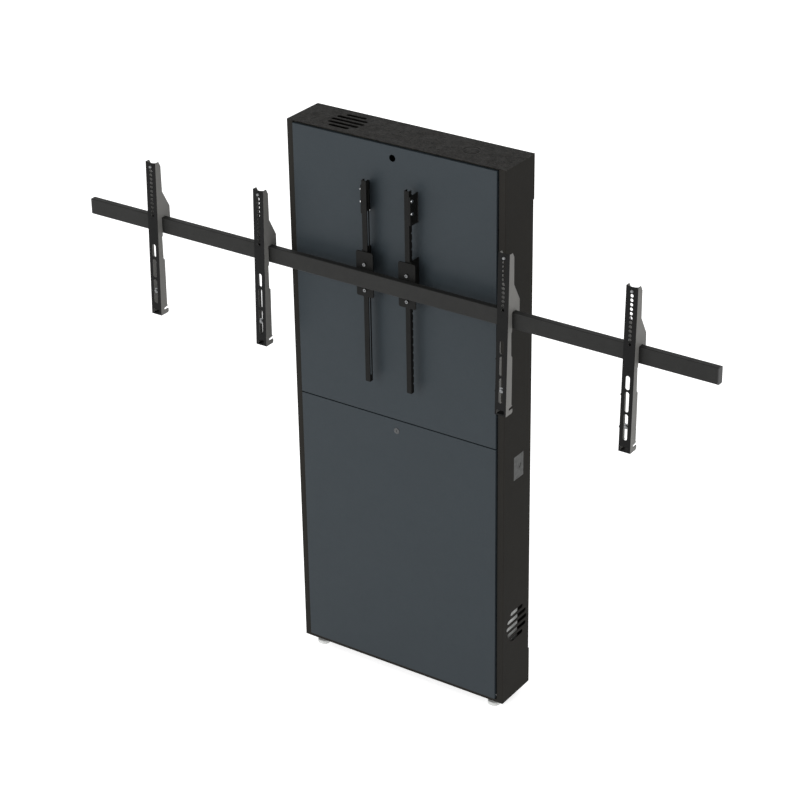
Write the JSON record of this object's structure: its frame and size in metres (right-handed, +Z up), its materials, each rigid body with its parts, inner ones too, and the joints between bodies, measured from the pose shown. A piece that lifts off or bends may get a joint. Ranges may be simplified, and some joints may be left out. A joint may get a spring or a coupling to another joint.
{
  "type": "dual display stand",
  "caption": "Slim dark steel stand that carries two flat displays side by side on a long rail with hook-on brackets, braced to a wall",
  "frame": {"origin": "middle of the overall box, on the floor", "axes": "+X to the right as seen from the front, +Y towards the wall, +Z up"},
  "size_m": [2.16, 0.2538, 1.78],
  "materials": {
    "powder_coat": "fine textured charcoal powder coat",
    "cover_paint": "smooth satin slate-grey powder coat",
    "zinc_plate": "light grey zinc-plated sheet",
    "bright_steel": "bright plated fasteners",
    "black_plastic": "matt black moulded plastic"
  },
  "bodies": {
    "cabinet": {"left_side_panel": "powder_coat", "right_side_panel": "powder_coat", "top_panel": "powder_coat", "base_pan": "powder_coat", "plinth_plate": "zinc_plate", "back_panel": "powder_coat", "lower_wall_plate": "powder_coat", "upper_wall_plate": "powder_coat", "wall_plate_screws": "bright_steel", "back_panel_screws": "bright_steel", "cable_entry_edging": "black_plastic", "upper_cover": "cover_paint", "cover_magnets": "black_plastic", "mid_rail": "powder_coat", "cover_pins": "bright_steel", "left_post": "powder_coat", "right_post": "powder_coat", "equipment_plate": "zinc_plate", "left_lower_arm": "powder_coat", "left_upper_arm": "powder_coat", "right_lower_arm": "powder_coat", "right_upper_arm": "powder_coat", "arm_post_screws": "bright_steel", "left_upright": "powder_coat", "right_upright": "powder_coat", "arm_upright_screws": "bright_steel", "side_hatch": "zinc_plate", "foot_inserts": "bright_steel"},
    "hatch_turn": {"hatch_latch": "bright_steel"},
    "front_left_leveller": {"front_left_foot": "zinc_plate"},
    "front_right_leveller": {"front_right_foot": "zinc_plate"},
    "back_left_leveller": {"back_left_foot": "zinc_plate"},
    "back_right_leveller": {"back_right_foot": "zinc_plate"},
    "cover_flap": {"lower_cover": "cover_paint", "lock_barrel": "bright_steel", "lock_nut": "zinc_plate"},
    "lock_turn": {"lock_plug": "bright_steel", "lock_cam": "bright_steel"},
    "rail": {"rail_tube": "powder_coat", "left_rail_cap": "black_plastic", "right_rail_cap": "black_plastic", "left_rail_clamp": "powder_coat", "right_rail_clamp": "powder_coat", "left_nut_bar": "zinc_plate", "right_nut_bar": "zinc_plate", "clamp_bolts": "bright_steel", "rail_bolts": "bright_steel"},
    "far_left_slider": {"far_left_bracket": "powder_coat"},
    "near_left_slider": {"near_left_bracket": "powder_coat"},
    "near_right_slider": {"near_right_bracket": "powder_coat"},
    "far_right_slider": {"far_right_bracket": "powder_coat"}
  },
  "joints": [
    {"name": "rail_height", "type": "slide", "parent": "cabinet", "child": "rail", "axis": [0, 0, 1], "range_m": [-0.15, 0.15]},
    {"name": "cover_tip", "type": "hinge", "parent": "cabinet", "child": "cover_flap", "pos_m": [0, -0.02352, 0.054], "axis": [1, 0, 0], "range_deg": [0, 90]},
    {"name": "lock_quarter_turn", "type": "hinge", "parent": "cover_flap", "child": "lock_turn", "pos_m": [0, -0.02112, 0.873], "axis": [0, -1, 0], "range_deg": [0, 90]},
    {"name": "hatch_latch_turn", "type": "hinge", "parent": "cabinet", "child": "hatch_turn", "pos_m": [0.369, 0.06436, 0.823], "axis": [1, 0, 0], "range_deg": [0, 90]},
    {"name": "far_left_slide", "type": "slide", "parent": "rail", "child": "far_left_slider", "axis": [-1, 0, 0], "range_m": [-0.15, 0.22]},
    {"name": "near_left_slide", "type": "slide", "parent": "rail", "child": "near_left_slider", "axis": [-1, 0, 0], "range_m": [-0.25, 0.15]},
    {"name": "near_right_slide", "type": "slide", "parent": "rail", "child": "near_right_slider", "axis": [1, 0, 0], "range_m": [-0.25, 0.15]},
    {"name": "far_right_slide", "type": "slide", "parent": "rail", "child": "far_right_slider", "axis": [1, 0, 0], "range_m": [-0.15, 0.22]},
    {"name": "front_left_level", "type": "slide", "parent": "cabinet", "child": "front_left_leveller", "axis": [0, 0, -1], "range_m": [0, 0.008]},
    {"name": "front_right_level", "type": "slide", "parent": "cabinet", "child": "front_right_leveller", "axis": [0, 0, -1], "range_m": [0, 0.008]},
    {"name": "back_left_level", "type": "slide", "parent": "cabinet", "child": "back_left_leveller", "axis": [0, 0, -1], "range_m": [0, 0.008]},
    {"name": "back_right_level", "type": "slide", "parent": "cabinet", "child": "back_right_leveller", "axis": [0, 0, -1], "range_m": [0, 0.008]}
  ]
}
